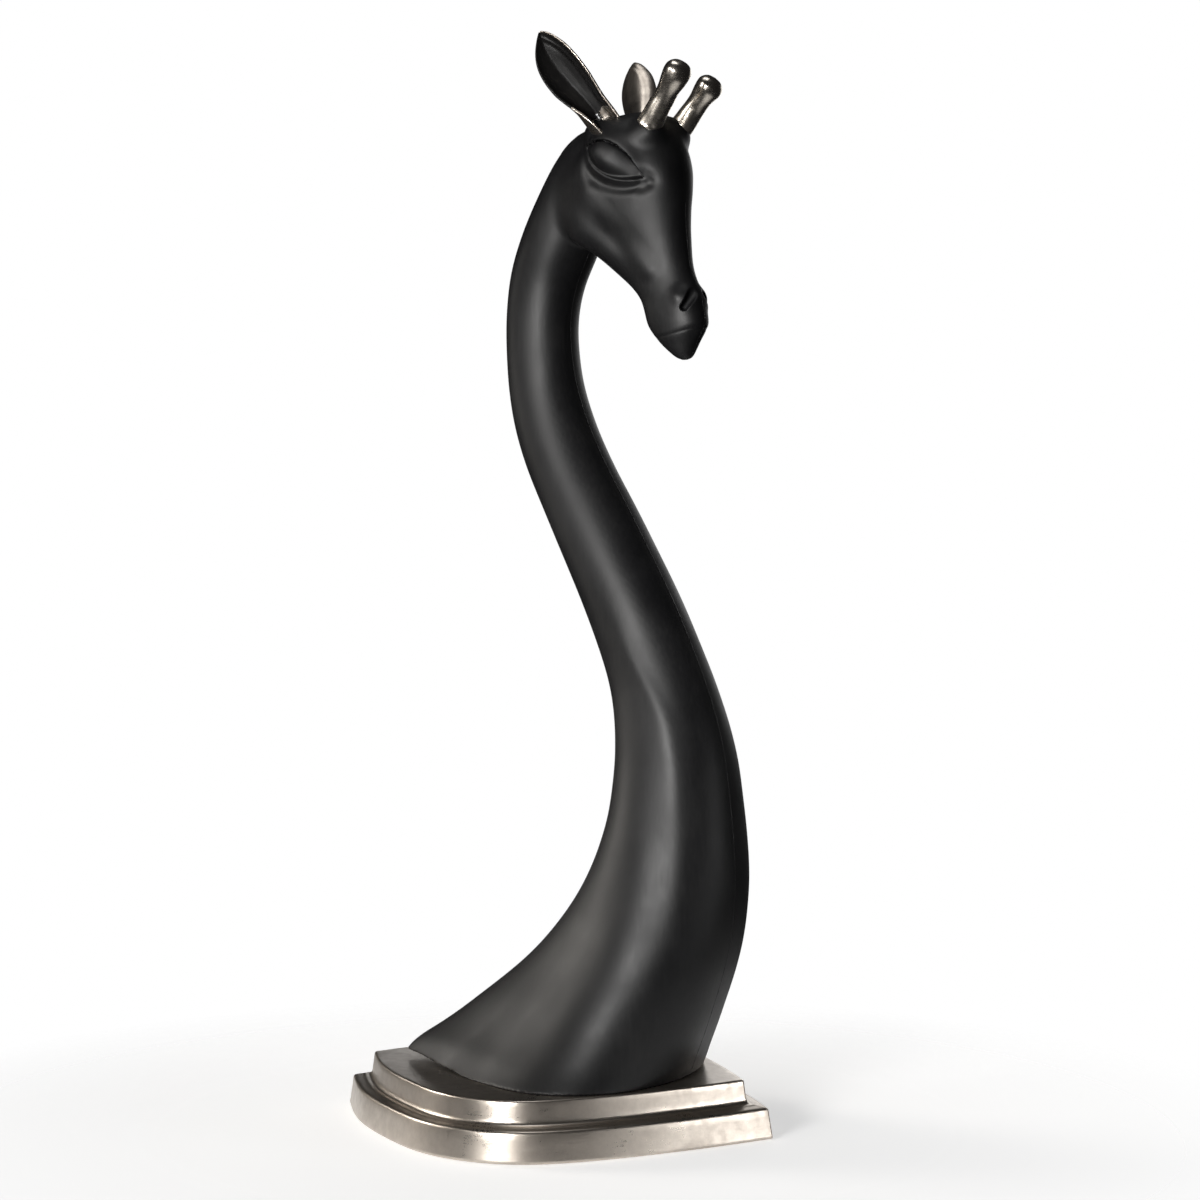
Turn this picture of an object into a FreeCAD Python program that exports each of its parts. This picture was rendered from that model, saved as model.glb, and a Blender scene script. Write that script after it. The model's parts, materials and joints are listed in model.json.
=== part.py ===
import FreeCAD, Part
import math, os

# Carved giraffe bust on a stepped metal plinth.
# Units mm, +Z up.  Origin: centre of the underside (the plane it rests on).
# +X towards the front corner of the plinth (the giraffe's front), +Y towards its left.
os.makedirs("parts", exist_ok=True)
V = FreeCAD.Vector
R = math.radians

# ---------------------------------------------------------------- driving dimensions
PLINTH_H = 50.0            # top face of the plinth
CORNER_X = 176.0           # sharp corners of the top face at (+-CORNER_X, 0)
RIM_Z = 1.5                # metal rim stands this far off the floor on its pads
WALL = 7.0                 # casting wall
TOP_T = 7.0                # casting top plate
# near side of the top face's plan, rear corner to front corner (mirrored for the other side)
PLAN = [(-176, 0), (-160, -27), (-143, -52), (-112, -87.5), (-80, -117), (-49, -141), (-19, -154.5),
        (8, -158), (35, -153), (62, -136.5), (88, -112), (112, -85), (141, -49), (160, -23.5), (176, 0)]
# stepped side profile of the casting: (outward offset from the top face's plan, height)
PROFILE = [(-1.3, 50.0), (-0.4, 49.6), (0.0, 48.7), (1.9, 33.4), (2.5, 31.3), (3.9, 29.8), (5.8, 29.0),
           (12.0, 27.3), (13.5, 26.5), (14.2, 25.0), (17.6, 3.2), (17.6, 2.1), (16.9, RIM_Z)]
TIER_LONG = 0.026          # the lower tier reaches this much further towards the two points
PAD_R, PAD_T, BOSS_R = 9.0, 3.0, 11.5
PAD_XY = [(-156.0, 0.0), (156.0, 0.0), (8.0, -138.0), (8.0, 138.0)]

NECK_YAW = -17.0           # the neck and head are turned this far to the giraffe's right
NECK_XY = (118.0, 0.0)     # the upright glue plane passes here
TIP_LIFT = 4.5             # the thin rear tip of the foot stands clear of the plinth by this

# horizontal sections of foot, chest and neck:
# (z, centre x, centre y, yaw, front reach, rear reach, half width, rear taper 0..1)
BODY = [
    (50, 29.2, 0, 0, 97.5, 175.6, 128, 0.86),
    (58, 32.2, 0, 0, 98.2, 175.8, 122.5, 0.86),
    (68, 39.6, 0, 0, 95, 169.1, 116.5, 0.86),
    (80, 48.6, 0, 0, 91.1, 158.9, 110, 0.84),
    (95, 58.6, 0, 0, 87.2, 146.9, 103, 0.81),
    (112, 68.2, 0, 0, 84, 134.4, 96.5, 0.76),
    (130, 78.5, 0, 0, 80.5, 120.7, 90.5, 0.68),
    (150, 88.3, 0, 0, 77.2, 107.1, 84.5, 0.59),
    (172, 96.3, 0, 0, 74.5, 94.7, 79, 0.47),
    (196, 103, 0, -0.6, 71.1, 82.7, 73.5, 0.34),
    (222, 108.3, 0, -2.2, 67.7, 72.6, 68, 0.21),
    (250, 111.7, 0, -4.7, 63.2, 64, 62.5, 0.1),
    (280, 114.1, 0.5, -8, 57.8, 57.8, 57, 0.02),
    (312, 113.9, 1.3, -11.4, 54.3, 54.3, 52, 0),
    (346, 109.9, 2.5, -14.6, 51, 51, 47, 0),
    (382, 100.5, 5.4, -16.7, 48, 48, 42.5, 0),
    (420, 84.5, 10.2, -17, 47, 47, 40, 0),
    (460, 65.2, 16.1, -17, 46.3, 46.3, 39, 0),
    (500, 43.1, 22.9, -17, 45, 45, 38, 0),
    (540, 20.7, 29.8, -17, 43.4, 43.4, 36.8, 0),
    (580, -1.8, 36.6, -17, 40.9, 40.9, 35, 0),
    (620, -18.7, 41.8, -17, 37.4, 37.4, 33, 0),
    (660, -28.3, 44.7, -17, 34, 34, 31, 0),
    (700, -31.2, 45.6, -17, 32.8, 32.8, 30.5, 0),
    (735, -26.6, 44.2, -17, 34.5, 34.5, 31.5, 0),
    (765, -14.5, 40.5, -17, 38.5, 38.5, 34, 0),
    (790, -3.4, 37.1, -17, 38.3, 38.3, 34.4, 0),
    (812, 7.1, 33.9, -17, 36.5, 36.5, 32.6, 0),
    (832, 14.9, 31.5, -17, 33, 33, 29.5, 0),
    (846, 19.8, 30.0, -17, 28.2, 28.2, 25.5, 0),
    (856, 23.5, 28.9, -17, 22.5, 22.5, 21, 0),
    (863, 27.5, 27.7, -17, 16, 16, 15, 0),
    (867, 31, 26.6, -17, 9, 9, 8.5, 0),
]
# horizontal sections of the head, in the plane of the neck:
# (z, centre along the plane, half length, half width, egg factor)
HEAD = [
    (666, 4.0, 5, 4.5, 0),
    (669, 3.0, 7.5, 8, 0),
    (675, 0.8, 12.5, 13, 0),
    (684, -1.3, 20.8, 17, 0),
    (695, -2.5, 28.8, 19, 0),
    (707, -6, 30.3, 20, 0),
    (717, -7.8, 30.7, 19.5, 0),
    (727, -14.6, 31.9, 19.5, 0.05),
    (740, -25.2, 36.4, 22, 0.1),
    (751, -33.3, 41.7, 25.5, 0.15),
    (765, -43.2, 50.1, 29.5, 0.18),
    (780, -49.9, 55.3, 33, 0.2),
    (795, -54.4, 59.7, 36, 0.2),
    (810, -55.9, 61.6, 38.5, 0.18),
    (825, -55.9, 61.2, 40, 0.15),
    (838, -55.2, 59.5, 40, 0.1),
    (850, -54.8, 56.1, 38, 0.05),
    (860, -52.5, 51, 35, 0),
    (868, -49, 44, 30, 0),
    (874, -46, 34, 23, 0),
    (878, -44, 22, 14, 0),
    (879.5, -43, 12, 7, 0),
]
EYE = (-43.0, 31.5, 833.0)       # along the plane, out from it, height
EYE_AXES = (22.0, 8.5, 13.0)

# ossicones: base point (along, out, z), lean direction, (distance, radius) profile
HORN_BASE = (-19.0, 21.5, 864.6)
HORN_DIR = (29.3, 1.9, 32.6)
HORN = [(0, 10.4), (6, 10.1), (14, 9.4), (24, 8.8), (36, 8.9), (46, 9.9), (54, 10.4), (59.2, 8.4), (62.3, 4.8)]
HORN_L = 63.4
HORN_STUD_R, HORN_STUD_L = 3.0, 36.0

# ears: root (along, out, z) and tip, length stations (fraction, half width, cup depth)
EAR_ROOT = (-65.6, 26.0, 871.0)
EAR_TIP = (-100.0, 66.0, 944.0)
EAR_OPEN = (0.34, 0.94, 0.0)
EAR = [(0.0, 12.6, 9.5), (0.12, 12.9, 10.0), (0.26, 14.4, 10.0), (0.42, 17.0, 9.5), (0.58, 17.6, 8.5),
       (0.72, 16.0, 6.5), (0.84, 12.0, 4.0), (0.93, 7.0, 2.2), (0.985, 2.2, 1.2)]
EAR_T = 2.8
EAR_NECK_R = 8.5
EAR_STUD_R, EAR_STUD_L = 2.5, 34.0

# fixings
BOLT_R, BOLT_HEAD_AF, BOLT_HEAD_H = 4.0, 13.0, 5.3
WASHER_R, WASHER_T = 12.0, 2.0
FIX_BOSS_R, FIX_BOSS_Z = 14.0, 38.0
INSERT_R, INSERT_L = 6.0, 20.0
BOLT_XY = [(74.0, -56.0), (-20.0, -60.0), (74.0, 66.0), (-6.0, 82.0)]
PIN_R, PIN_Z0, PIN_Z1 = 5.0, 44.0, 68.0
PIN_XY = [(104.0, -22.0), (30.0, 98.0)]
DOWEL_R, DOWEL_L = 5.0, 38.0
DOWEL_SZ = [(-55.0, 95.0), (25.0, 120.0), (-12.0, 205.0), (-5.0, 300.0), (-36.0, 420.0), (-90.0, 520.0),
            (-143.0, 620.0), (-156.0, 700.0), (-84.0, 800.0), (-36.0, 770.0)]

CY, SY = math.cos(R(NECK_YAW)), math.sin(R(NECK_YAW))


def plane_pt(t, w, z):
    """point at t along the neck plane, w out to the giraffe's left of it."""
    return V(NECK_XY[0] + t * CY - w * SY, NECK_XY[1] + t * SY + w * CY, z)


def plane_dir(t, w, z):
    v = V(t * CY - w * SY, t * SY + w * CY, z)
    v.normalize()
    return v


def spow(c, e):
    return math.copysign(abs(c) ** e, c)


def closed_curve(pts):
    c = Part.BSplineCurve()
    n = len(pts)
    c.interpolate(Points=pts, PeriodicFlag=True, Parameters=[i / n for i in range(n + 1)])
    return Part.Wire([c.toShape()])


def section(cx, cy, yaw, z, af, ar, b, k, n=36, m=2.15, p=1.75, e=0.0):
    """horizontal section: superellipse in front, ellipse or leaf taper behind."""
    d = (math.cos(R(yaw)), math.sin(R(yaw)))
    pts = []
    for i in range(n):
        a = 2 * math.pi * (i + 0.5) / n
        c, s = math.cos(a), math.sin(a)
        if c >= 0:
            t = af * spow(c, 2.0 / m)
            w = spow(s, 2.0 / m)
            q = t / af
        else:
            t = ar * c
            w = spow(s, 1.0) * (1 - k) + math.copysign(k * (1 - abs(c) ** p), s)
            q = t / ar
        w = b * w * (1 - e * q)
        pts.append(V(cx + t * d[0] - w * d[1], cy + t * d[1] + w * d[0], z))
    return closed_curve(pts)


def cyl(p, r, h, d=V(0, 0, 1)):
    return Part.makeCylinder(r, h, p, d)


def single(shape, name):
    s = shape.Solids
    if len(s) != 1:
        s = sorted(s, key=lambda q: -q.Volume)
        print(name, "has", len(s), "solids", [round(q.Volume, 1) for q in s])
    s = s[0]
    print("%-18s valid %s volume %.1f cm3" % (name, s.isValid(), s.Volume / 1000.0))
    return s


def save(shape, name):
    shape.exportStep("parts/%s.step" % name)


# ---------------------------------------------------------------- plinth
_plan = Part.BSplineCurve()
_plan.interpolate(Points=[V(x, y, 0) for x, y in PLAN])


def plan_half(off, n=24):
    """near half of the plan offset outwards by off, its ends on the X axis."""
    a, b = _plan.FirstParameter, _plan.LastParameter
    raw = []
    for i in range(241):
        u = a + (b - a) * i / 240.0
        q = _plan.value(u)
        t = _plan.tangent(u)[0]
        raw.append((q.x + off * t.y, q.y - off * t.x, t.x, t.y))
    # carry the ends to, or cut them back to, the X axis
    def to_axis(q):
        s = -q[1] / q[3]
        return (q[0] + s * q[2], 0.0)
    pts = [q for q in raw if q[1] < -0.02]
    first, last = to_axis(pts[0]), to_axis(pts[-1])
    pts = [first] + [(q[0], q[1]) for q in pts] + [last]
    grow = 1.0 + TIER_LONG * min(max((off - 5.0) / 8.0, 0.0), 1.0)
    pts = [(x * grow, y) for x, y in pts]
    ln = [0.0]
    for q0, q1 in zip(pts, pts[1:]):
        ln.append(ln[-1] + math.hypot(q1[0] - q0[0], q1[1] - q0[1]))
    out = []
    j = 0
    for i in range(n + 1):
        s = ln[-1] * i / n
        while j < len(ln) - 2 and ln[j + 1] < s:
            j += 1
        f = (s - ln[j]) / max(ln[j + 1] - ln[j], 1e-9)
        out.append((pts[j][0] + f * (pts[j + 1][0] - pts[j][0]), pts[j][1] + f * (pts[j + 1][1] - pts[j][1])))
    return out


def plan_wire(off, z):
    h = plan_half(off)
    n = len(h) - 1
    par = [i / n for i in range(n + 1)]
    e = []
    for sgn in (1, -1):
        c = Part.BSplineCurve()
        c.interpolate(Points=[V(x, sgn * y, z) for x, y in (h if sgn == 1 else h[::-1])], Parameters=par)
        e.append(c.toShape())
    return Part.Wire(e)


plinth = Part.makeLoft([plan_wire(o, z) for o, z in PROFILE], True, True)
hollow = Part.makeLoft([plan_wire(17.4 - WALL, -5.0), plan_wire(14.2 - WALL, 24.0), plan_wire(-WALL + 1.5, 30.0),
                        plan_wire(-WALL, PLINTH_H - TOP_T)], True, True)
bosses = [cyl(V(x, y, RIM_Z), BOSS_R, PLINTH_H - TOP_T - RIM_Z + 1.0) for x, y in PAD_XY]
bosses += [cyl(V(x, y, FIX_BOSS_Z), FIX_BOSS_R, PLINTH_H - TOP_T - FIX_BOSS_Z + 1.0) for x, y in BOLT_XY]
bosses += [cyl(V(x, y, 39.0), 9.0, PLINTH_H - TOP_T - 39.0 + 1.0) for x, y in PIN_XY]
hollow = hollow.cut(bosses)
plinth = plinth.cut(hollow)
pads = [cyl(V(x, y, 0), PAD_R, PAD_T) for x, y in PAD_XY]
plinth = plinth.cut(pads)
plinth = plinth.cut([cyl(V(x, y, 30), BOLT_R + 0.5, 30) for x, y in BOLT_XY])
pins = [cyl(V(x, y, PIN_Z0), PIN_R, PIN_Z1 - PIN_Z0) for x, y in PIN_XY]
plinth = plinth.cut(pins)
save(single(plinth, "base_plinth"), "base_plinth")
save(Part.makeCompound(pads), "felt_pads")
save(Part.makeCompound(pins), "locating_pins")

# ---------------------------------------------------------------- fixings
bolts, washers, inserts = [], [], []
for x, y in BOLT_XY:
    hexa = Part.makePolygon([V(x + BOLT_HEAD_AF / math.sqrt(3) * math.cos(R(60 * i)),
                               y + BOLT_HEAD_AF / math.sqrt(3) * math.sin(R(60 * i)),
                               FIX_BOSS_Z - WASHER_T - BOLT_HEAD_H) for i in range(7)])
    head = Part.Face(hexa).extrude(V(0, 0, BOLT_HEAD_H))
    bolts.append(head.fuse(cyl(V(x, y, FIX_BOSS_Z - WASHER_T), BOLT_R, 32.0)).removeSplitter())
    w0 = V(x, y, FIX_BOSS_Z - WASHER_T)
    washers.append(cyl(w0, WASHER_R, WASHER_T).cut(cyl(w0, BOLT_R + 0.4, WASHER_T)))
    i0 = V(x, y, PLINTH_H)
    inserts.append(cyl(i0, INSERT_R, INSERT_L).cut(cyl(i0, BOLT_R, INSERT_L)))
save(Part.makeCompound([b.Solids[0] for b in bolts]), "base_bolts")
save(Part.makeCompound([b.Solids[0] for b in washers]), "base_washers")
save(Part.makeCompound([b.Solids[0] for b in inserts]), "threaded_inserts")


# ---------------------------------------------------------------- ears
def ear(side):
    root, tip = plane_pt(EAR_ROOT[0], side * EAR_ROOT[1], EAR_ROOT[2]), plane_pt(EAR_TIP[0], side * EAR_TIP[1], EAR_TIP[2])
    u = tip - root
    length = u.Length
    u.normalize()
    n = plane_dir(EAR_OPEN[0], side * EAR_OPEN[1], EAR_OPEN[2])
    n = n - u * n.dot(u)
    n.normalize()
    v = u.cross(n)
    wires = []
    for f, w, d in EAR:
        c = root + u * (f * length)
        t = min(EAR_T, 0.75 * w)
        lip = min(1.0, 0.3 * w)
        a0, a1, am = c - v * w, c + v * w, c - n * d
        b0, b1, bm = c - v * (w - lip) + n * 0.4, c + v * (w - lip) + n * 0.4, c - n * (d - t)
        wires.append(Part.Wire([Part.Arc(a0, am, a1).toShape(), Part.LineSegment(a1, b1).toShape(),
                                Part.Arc(b1, bm, b0).toShape(), Part.LineSegment(b0, a0).toShape()]))
    shell = Part.makeLoft(wires, True, False)
    neck = Part.makeCone(EAR_NECK_R + 0.5, EAR_NECK_R, 0.16 * length, root - n * 3.0, u)
    hole = cyl(root - n * 3.0 - u * (EAR_STUD_L - 9.0), EAR_STUD_R, EAR_STUD_L, u)
    solid = shell.fuse(neck).cut(hole)
    return single(solid, "ear"), hole


# ---------------------------------------------------------------- ossicones
def horn(side):
    p = plane_pt(HORN_BASE[0], side * HORN_BASE[1], HORN_BASE[2])
    d = plane_dir(HORN_DIR[0], side * HORN_DIR[1], HORN_DIR[2])
    c = Part.BSplineCurve()
    c.interpolate(Points=[V(r, 0, h) for h, r in HORN] + [V(0, 0, HORN_L)],
                  InitialTangent=V(-0.03, 0, 1), FinalTangent=V(-1, 0, 0))
    prof = Part.Wire([c.toShape(), Part.LineSegment(V(0, 0, HORN_L), V(0, 0, 0)).toShape(),
                      Part.LineSegment(V(0, 0, 0), V(HORN[0][1], 0, 0)).toShape()])
    s = Part.Face(prof).revolve(V(0, 0, 0), V(0, 0, 1), 360)
    if s.ShapeType != "Solid":
        s = Part.Solid(s) if s.ShapeType == "Shell" else s.Solids[0]
    s.Placement = FreeCAD.Placement(p, FreeCAD.Rotation(V(0, 0, 1), d))
    stud = cyl(p - d * (HORN_STUD_L / 2 - 3), HORN_STUD_R, HORN_STUD_L, d)
    return single(s.cut(stud), "horn"), stud


ear_r, ear_stud_r = ear(-1)
ear_l, ear_stud_l = ear(1)
horn_r, horn_stud_r = horn(-1)
horn_l, horn_stud_l = horn(1)

# ---------------------------------------------------------------- carved body
neck = Part.makeLoft([section(cx, cy, yw, z, af, ar, b, k) for z, cx, cy, yw, af, ar, b, k in BODY], True, False)
head = Part.makeLoft([section(plane_pt(t, 0, 0).x, plane_pt(t, 0, 0).y, NECK_YAW, z, a, a, b, 0.0, e=e, m=2.1)
                      for z, t, a, b, e in HEAD], True, False)
body = neck.fuse(head)
for side in (-1, 1):
    ball = Part.makeSphere(1.0)
    m = FreeCAD.Matrix()
    m.scale(EYE_AXES[0], EYE_AXES[1], EYE_AXES[2])
    ball = ball.transformGeometry(m)
    ball.Placement = FreeCAD.Placement(plane_pt(EYE[0], side * EYE[1], EYE[2]),
                                       FreeCAD.Rotation(V(0, 0, 1), NECK_YAW - side * 14.0).multiply(
                                           FreeCAD.Rotation(V(0, 1, 0), 22.0)))
    body = body.fuse(ball)
# the thin rear tip is undercut so that it stands clear of the plinth
wedge = Part.Face(Part.makePolygon([V(-40, -150, PLINTH_H - 1), V(-160, -150, PLINTH_H - 1),
                                    V(-160, -150, PLINTH_H + TIP_LIFT), V(-118, -150, PLINTH_H + TIP_LIFT * 0.7),
                                    V(-40, -150, PLINTH_H), V(-40, -150, PLINTH_H - 1)])).extrude(V(0, 300, 0))
body = body.cut(wedge)
body = body.cut([ear_r, ear_l, horn_r, horn_l, ear_stud_r, ear_stud_l, horn_stud_r, horn_stud_l])
body = body.cut(pins + [cyl(V(x, y, PLINTH_H), INSERT_R, INSERT_L + 2.0) for x, y in BOLT_XY])
nrm = plane_dir(0, 1, 0)
dowels = [cyl(plane_pt(t, -DOWEL_L / 2, z), DOWEL_R, DOWEL_L, nrm) for t, z in DOWEL_SZ]
body = body.cut(dowels)
body = body.Solids[0] if len(body.Solids) == 1 else max(body.Solids, key=lambda q: q.Volume)

big = Part.makeBox(1200, 600, 1100, V(-600, 0, -20))
big.rotate(V(0, 0, 0), V(0, 0, 1), NECK_YAW)
big.translate(V(NECK_XY[0], NECK_XY[1], 0))
left = body.common(big)
right = body.cut(big)
save(single(right, "body_right_half"), "body_right_half")
save(single(left, "body_left_half"), "body_left_half")
save(Part.makeCompound(dowels), "seam_dowels")
save(ear_r, "ear_right")
save(ear_l, "ear_left")
save(horn_r, "horn_right")
save(horn_l, "horn_left")
save(Part.makeCompound([ear_stud_r, ear_stud_l]), "ear_studs")
save(Part.makeCompound([horn_stud_r, horn_stud_l]), "horn_studs")
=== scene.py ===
import bpy, bmesh, math, json, time
import numpy as np
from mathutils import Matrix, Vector

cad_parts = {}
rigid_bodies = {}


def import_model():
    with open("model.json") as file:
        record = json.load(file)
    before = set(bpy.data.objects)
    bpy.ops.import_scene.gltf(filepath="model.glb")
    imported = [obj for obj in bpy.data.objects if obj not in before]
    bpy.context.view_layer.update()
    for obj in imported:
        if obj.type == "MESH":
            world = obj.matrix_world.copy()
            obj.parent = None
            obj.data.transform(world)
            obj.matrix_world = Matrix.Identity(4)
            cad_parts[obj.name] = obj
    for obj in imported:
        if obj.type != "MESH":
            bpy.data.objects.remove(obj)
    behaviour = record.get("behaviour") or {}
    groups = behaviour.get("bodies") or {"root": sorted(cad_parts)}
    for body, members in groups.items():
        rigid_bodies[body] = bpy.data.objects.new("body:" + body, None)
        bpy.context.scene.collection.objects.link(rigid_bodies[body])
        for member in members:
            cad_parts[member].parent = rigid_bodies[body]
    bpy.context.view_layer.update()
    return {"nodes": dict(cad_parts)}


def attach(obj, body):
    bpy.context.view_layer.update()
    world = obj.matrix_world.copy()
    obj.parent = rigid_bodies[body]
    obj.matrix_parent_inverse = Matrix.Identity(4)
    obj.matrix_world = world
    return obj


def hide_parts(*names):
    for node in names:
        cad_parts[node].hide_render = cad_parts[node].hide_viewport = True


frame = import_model()
T0 = time.time()
def log(*a): print("[scene]", round(time.time() - T0, 1), *a)

# ---------------------------------------------------------------- tables (mm)
YAW = math.radians(-17.0)
CY, SY = math.cos(YAW), math.sin(YAW)
NX, NY = 118.0, 0.0
BODY = np.array([
 (20, 12, 0, 0, 97, 190, 144, 0.86), (35, 20, 0, 0, 97, 184, 137, 0.86),
 (50, 29.2, 0, 0, 97.5, 175.6, 129, 0.92), (58, 33.5, 0, 0, 97.2, 174.5, 123, 0.90), (68, 39.6, 0, 0, 95, 169.1, 116.5, 0.86),
 (80, 48.6, 0, 0, 91.1, 158.9, 110, 0.84), (95, 58.6, 0, 0, 87.2, 146.9, 103, 0.81), (112, 68.2, 0, 0, 84, 134.4, 96.5, 0.76),
 (130, 78.5, 0, 0, 80.5, 120.7, 90.5, 0.68), (150, 88.3, 0, 0, 77.2, 107.1, 84.5, 0.59), (172, 96.3, 0, 0, 74.5, 94.7, 79, 0.47),
 (196, 103, 0, -0.6, 71.1, 82.7, 73.5, 0.34), (222, 108.3, 0, -2.2, 67.7, 72.6, 68, 0.21), (250, 111.7, 0, -4.7, 63.2, 64, 62.5, 0.1),
 (280, 114.1, 0.5, -8, 57.8, 57.8, 57, 0.02), (312, 113.9, 1.3, -11.4, 54.3, 54.3, 52, 0), (346, 109.9, 2.5, -14.6, 51, 51, 47, 0),
 (382, 100.5, 5.4, -16.7, 48, 48, 42.5, 0), (420, 84.5, 10.2, -17, 47, 47, 40, 0), (460, 65.2, 16.1, -17, 46.3, 46.3, 39, 0),
 (500, 43.1, 22.9, -17, 45, 45, 38, 0), (540, 20.7, 29.8, -17, 43.4, 43.4, 36.8, 0), (580, -1.8, 36.6, -17, 40.9, 40.9, 35, 0),
 (620, -18.7, 41.8, -17, 37.4, 37.4, 33, 0), (660, -28.3, 44.7, -17, 34, 34, 31, 0), (700, -31.2, 45.6, -17, 32.8, 32.8, 30.5, 0),
 (735, -26.6, 44.2, -17, 34.5, 34.5, 31.5, 0), (765, -14.5, 40.5, -17, 38.5, 38.5, 34, 0), (790, -3.4, 37.1, -17, 38.3, 38.3, 34.4, 0),
 (812, 7.1, 33.9, -17, 36.5, 36.5, 32.6, 0), (832, 14.9, 31.5, -17, 33, 33, 29.5, 0), (846, 19.8, 30.0, -17, 28.2, 28.2, 25.5, 0),
 (856, 23.5, 28.9, -17, 22.5, 22.5, 21, 0), (863, 27.5, 27.7, -17, 16, 16, 15, 0), (868, 31, 26.6, -17, 7, 7, 6.5, 0), (871, 32, 26.3, -17, .5, .5, .5, 0)])
# z, rear t, front t, half width, exponent, egg
HEAD = np.array([
 (664.5, 2.0, 7.0, 2.0, 2.0, 0), (666, -2.0, 10.2, 5.8, 2.0, 0), (669, -6.5, 12.6, 9.0, 2.0, 0), (673, -11.5, 14.6, 11.4, 2.05, 0), (678, -17.2, 17, 13.8, 2.1, 0), (684.5, -23.0, 20.2, 16.6, 2.15, 0), (695, -31.3, 26.3, 19, 2.2, 0),
 (707, -34.6, 24.3, 20, 2.2, 0), (717, -38.5, 22.9, 19.5, 2.2, 0), (727, -46.5, 17.3, 19.5, 2.2, 0.05), (740, -61.6, 11.2, 22, 2.25, 0.1),
 (751, -75, 8.4, 25.5, 2.3, 0.14), (765, -93.3, 6.9, 29.5, 2.35, 0.17), (780, -105.2, 5.4, 33, 2.4, 0.18), (795, -114, 5, 36, 2.45, 0.18),
 (810, -117.5, 5.7, 38.5, 2.45, 0.16), (825, -117.1, 5.3, 40, 2.4, 0.13), (838, -114.7, 3.0, 39.5, 2.3, 0.1), (850, -110.9, -1.5, 37, 2.25, 0.05),
 (860, -103.5, -5.0, 34, 2.25, 0), (868, -93, -9, 29.5, 2.25, 0), (874, -80, -12, 23, 2.3, 0), (878, -66, -22, 14, 2.2, 0), (880, -54, -34, 6, 2.1, 0), (880.6, -46, -42, 1.5, 2.1, 0)])

def pchip_dense(zs, vs, zq):
    """monotone cubic through the table"""
    h = np.diff(zs); d = np.diff(vs) / h
    m = np.zeros(len(zs))
    for i in range(1, len(zs) - 1):
        if d[i-1] * d[i] > 0:
            w1, w2 = 2*h[i] + h[i-1], h[i] + 2*h[i-1]
            m[i] = (w1 + w2) / (w1/d[i-1] + w2/d[i])
    m[0], m[-1] = d[0], d[-1]
    i = np.clip(np.searchsorted(zs, zq) - 1, 0, len(zs) - 2)
    t = (zq - zs[i]) / h[i]
    t = np.clip(t, 0, 1)
    return ((2*t**3 - 3*t**2 + 1) * vs[i] + (t**3 - 2*t**2 + t) * h[i] * m[i] + (-2*t**3 + 3*t**2) * vs[i+1] + (t**3 - t**2) * h[i] * m[i+1])

def gsmooth(v, sig):
    r = int(4 * sig); k = np.exp(-0.5 * (np.arange(-r, r+1) / sig)**2); k /= k.sum()
    p = np.r_[2*v[0] - v[r:0:-1], v, 2*v[-1] - v[-2:-r-2:-1]]
    return np.convolve(p, k, 'valid')

def sst(a, b, x):
    t = np.clip((x - a) / (b - a), 0, 1); return t * t * (3 - 2 * t)

NT = 360
TH = np.linspace(-math.pi, math.pi, NT + 1)
def polar(t, w):
    """boundary points (sorted around) to radius on the uniform angle grid"""
    a = np.arctan2(w, t); r = np.hypot(t, w)
    o = np.argsort(a); a, r = a[o], r[o]
    a = np.r_[a - 2*math.pi, a, a + 2*math.pi]; r = np.r_[r, r, r]
    return np.interp(TH, a, r)

class Sections:
    """field from a stack of horizontal polar sections: g = rho^2 - r(theta, z)^2 about a moving, turning centre"""
    def __init__(s, z0, z1, n, cx, cy, yaw, R2):
        s.z0, s.z1, s.n, s.cx, s.cy, s.c, s.s, s.R2 = z0, z1, n, cx, cy, np.cos(yaw), np.sin(yaw), R2
        s.dz = (z1 - z0) / (n - 1)
        s.gr = np.gradient(R2, s.dz, axis=0)
    def g(s, P):
        z = np.clip((P[:, 2] - s.z0) / s.dz, 0, s.n - 1.001); i = z.astype(np.int32); f = z - i
        L = lambda a: a[i] * (1 - f) + a[i+1] * f
        x, y, c, sn = P[:, 0] - L(s.cx), P[:, 1] - L(s.cy), L(s.c), L(s.s)
        t, w = x*c + y*sn, -x*sn + y*c
        a = (np.arctan2(w, t) + math.pi) / (2*math.pi) * NT; j = np.clip(a.astype(np.int32), 0, NT - 1); e = a - j
        R = s.R2
        r2 = (R[i, j]*(1-e) + R[i, j+1]*e)*(1-f) + (R[i+1, j]*(1-e) + R[i+1, j+1]*e)*f
        # above or below the stack the radius keeps falling
        over = np.maximum(P[:, 2] - s.z1, 0) + np.maximum(s.z0 - P[:, 2], 0)
        return t*t + w*w - r2 + over * 60.0
    def d(s, P, h=0.6):
        g0 = s.g(P); G = np.zeros(len(P))
        for k in range(3):
            Q = P.copy(); Q[:, k] += h; g1 = s.g(Q); Q[:, k] -= 2*h; g2 = s.g(Q)
            G += ((g1 - g2) / (2*h))**2
        return g0 / np.maximum(np.sqrt(G), 6.0)

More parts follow.
